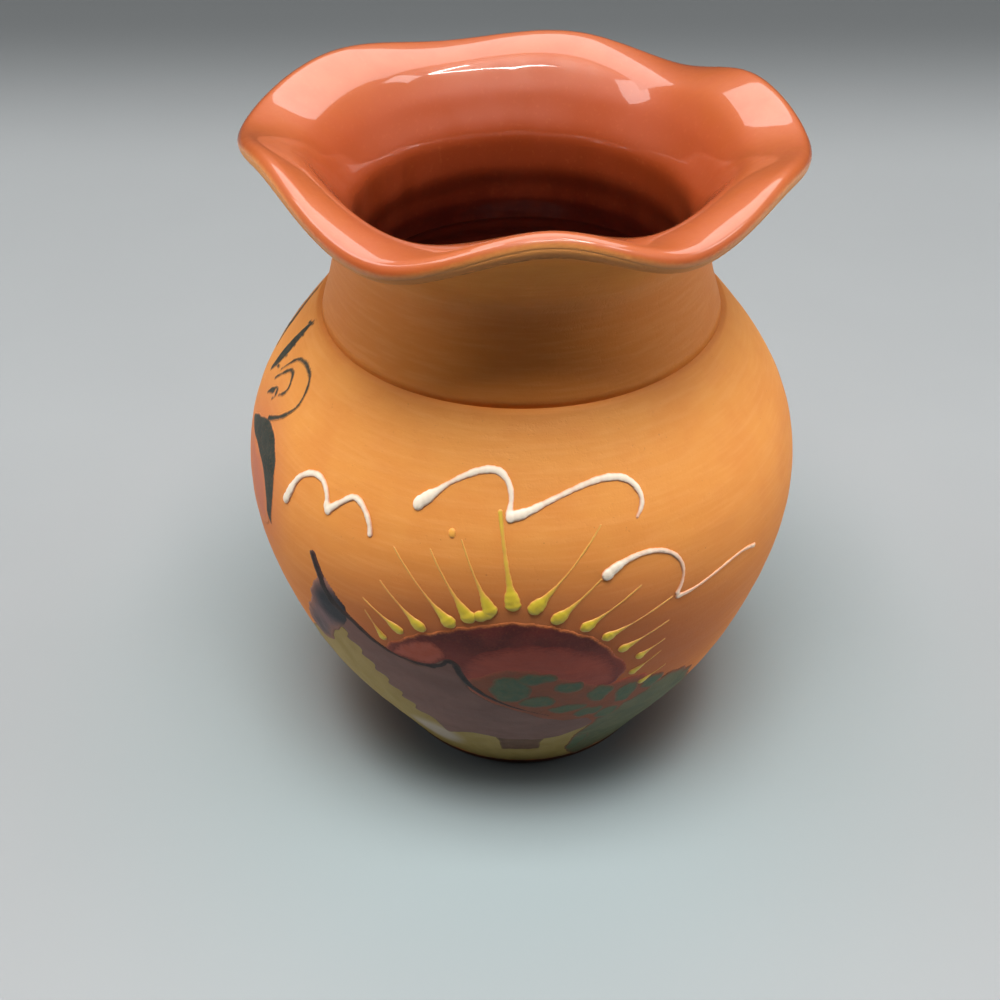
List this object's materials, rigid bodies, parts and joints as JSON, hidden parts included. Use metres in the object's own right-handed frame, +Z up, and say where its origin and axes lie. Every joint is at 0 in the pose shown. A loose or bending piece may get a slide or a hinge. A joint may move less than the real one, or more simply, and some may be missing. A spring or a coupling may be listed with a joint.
{
  "type": "painted pottery vase",
  "caption": "Round-bellied terracotta vase with a flared, ruffled collar, glossy red inside, matte ochre outside, with a painted sunset landscape and trailed slip birds and sun rays.",
  "frame": {"origin": "centre of the flat face the vase stands on", "axes": "+Z up along the belly's axis; -Y is the painted front, where the sun's middle ray is"},
  "size_m": [0.1082, 0.1089, 0.1364],
  "materials": {
    "fired_clay": "matte brushed ochre-orange slip over terracotta",
    "red_glaze": "glossy iron-red glaze",
    "white_slip": "satin trailed slip",
    "yellow_slip": "satin trailed slip",
    "black_paint": "matte brushed paint",
    "dusk_blue_paint": "matte brushed paint",
    "mauve_paint": "matte brushed paint",
    "wall_yellow_paint": "matte brushed paint",
    "door_brown_paint": "matte brushed paint",
    "sun_maroon_paint": "matte brushed paint",
    "sun_red_paint": "matte brushed paint",
    "leaf_green_paint": "matte brushed paint",
    "meadow_green_paint": "matte brushed paint",
    "rust_paint": "matte brushed paint",
    "scroll_green_paint": "matte brushed paint",
    "petal_pink_paint": "matte brushed paint"
  },
  "bodies": {
    "root": {"belly_shell": "fired_clay", "bird_left": "white_slip", "bird_middle": "white_slip", "bird_right": "white_slip", "door": "door_brown_paint", "foliage_dabs": "leaf_green_paint", "front_wall": "wall_yellow_paint", "ground": "rust_paint", "inner_glaze": "red_glaze", "meadow": "meadow_green_paint", "neck_collar": "fired_clay", "roof": "mauve_paint", "roof_gable_line": "black_paint", "roof_ridge": "black_paint", "roof_shadow": "dusk_blue_paint", "scroll_feather": "scroll_green_paint", "scroll_inner_curl": "scroll_green_paint", "scroll_leaf": "scroll_green_paint", "scroll_middle_curl": "scroll_green_paint", "scroll_outer_curl": "scroll_green_paint", "scroll_petal": "petal_pink_paint", "side_wall": "wall_yellow_paint", "stray_slip_drop": "yellow_slip", "sun_disc": "sun_maroon_paint", "sun_glow": "sun_red_paint", "sun_ray_01": "yellow_slip", "sun_ray_02": "yellow_slip", "sun_ray_03": "yellow_slip", "sun_ray_04": "yellow_slip", "sun_ray_05": "yellow_slip", "sun_ray_06": "yellow_slip", "sun_ray_07": "yellow_slip", "sun_ray_08": "yellow_slip", "sun_ray_09": "yellow_slip", "sun_ray_10": "yellow_slip", "sun_ray_11": "yellow_slip", "sun_ray_12": "yellow_slip", "sun_ray_13": "yellow_slip", "sun_ray_14": "yellow_slip", "sun_ray_15": "yellow_slip", "sun_ray_bridge": "yellow_slip", "sun_side_glow": "sun_red_paint"}
  },
  "joints": []
}
